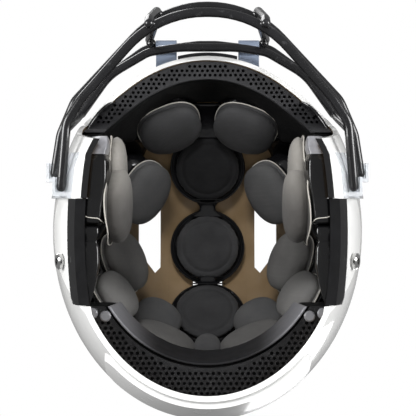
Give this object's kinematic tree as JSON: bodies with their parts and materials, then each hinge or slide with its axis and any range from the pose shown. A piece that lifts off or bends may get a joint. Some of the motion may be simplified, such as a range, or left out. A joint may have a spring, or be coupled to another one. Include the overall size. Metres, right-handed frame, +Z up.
{
  "type": "football helmet",
  "caption": "Hard-shell sport helmet with a welded wire face guard in clear clips, perforated liner facings and crowned cushion pods.",
  "frame": {"origin": "middle of the footprint, on the surface that the jaw flaps and the rear rim stand on", "axes": "+Z up to the crown, -Y to the face guard, +X to the wearer's left"},
  "size_m": [0.2446, 0.3228, 0.2525],
  "materials": {
    "white_shell": "glossy moulded",
    "white_bumper": "glossy moulded",
    "black_bumper": "satin moulded",
    "trim_rubber": "satin rubber",
    "pad_foam": "skinned foam",
    "perforated_facing": "perforated soft plastic",
    "band_vinyl": "satin vinyl",
    "snap_plastic": "glossy moulded",
    "pad_vinyl": "glossy welded vinyl",
    "cushion_fabric": "brushed knit",
    "jaw_fabric": "brushed knit",
    "guard_wire": "satin coated steel wire",
    "clear_clip": "clear moulded",
    "screw_steel": "plain",
    "nut_steel": "plain",
    "stud_chrome": "polished"
  },
  "bodies": {
    "helmet": {"shell": "white_shell", "front_bumper": "black_bumper", "rear_bumper": "white_bumper", "edge_trim_left": "trim_rubber", "edge_trim_right": "trim_rubber", "brow_pad": "pad_foam", "brow_pad_facing": "perforated_facing", "neck_pad": "pad_foam", "neck_pad_facing": "perforated_facing", "neck_band": "band_vinyl", "pad_snaps": "snap_plastic", "side_pad_left": "pad_foam", "side_pad_right": "pad_foam", "crown_pods": "pad_vinyl", "crown_cushion_front": "cushion_fabric", "crown_cushion_middle": "cushion_fabric", "crown_cushion_rear": "cushion_fabric", "front_pods": "pad_vinyl", "front_cushion_left": "cushion_fabric", "front_cushion_right": "cushion_fabric", "temple_pods": "pad_vinyl", "temple_cushion_left": "cushion_fabric", "temple_cushion_right": "cushion_fabric", "side_pods": "pad_vinyl", "side_cushion_left": "cushion_fabric", "side_cushion_right": "cushion_fabric", "nape_pods": "pad_vinyl", "nape_cushion_left": "cushion_fabric", "nape_cushion_right": "cushion_fabric", "rear_pods": "pad_vinyl", "rear_upper_cushion_left": "cushion_fabric", "rear_upper_cushion_right": "cushion_fabric", "rear_cushion_left": "cushion_fabric", "rear_cushion_right": "cushion_fabric", "rear_cushion_middle": "cushion_fabric", "top_clip_left": "clear_clip", "top_clip_right": "clear_clip", "side_clip_left": "clear_clip", "side_clip_right": "clear_clip", "top_clip_screws": "screw_steel", "side_clip_screws": "screw_steel", "clip_nuts": "nut_steel", "strap_studs": "stud_chrome"},
    "face_guard": {"brow_bar": "guard_wire", "eye_bar": "guard_wire", "mouth_bar": "guard_wire", "chin_bar": "guard_wire", "upright_left": "guard_wire", "upright_right": "guard_wire"},
    "jaw_pad_l": {"jaw_pad_left": "pad_vinyl", "jaw_cushion_left": "jaw_fabric"},
    "jaw_pad_r": {"jaw_pad_right": "pad_vinyl", "jaw_cushion_right": "jaw_fabric"}
  },
  "joints": [
    {"name": "guard_swing", "type": "hinge", "parent": "helmet", "child": "face_guard", "pos_m": [0, -0.13632, 0.15], "axis": [-1, 0, 0], "range_deg": [0, 95]},
    {"name": "jaw_pad_left_pull", "type": "slide", "parent": "helmet", "child": "jaw_pad_l", "axis": [1, 0, 0], "range_m": [0, 0.025]},
    {"name": "jaw_pad_right_pull", "type": "slide", "parent": "helmet", "child": "jaw_pad_r", "axis": [-1, 0, 0], "range_m": [0, 0.025]}
  ]
}
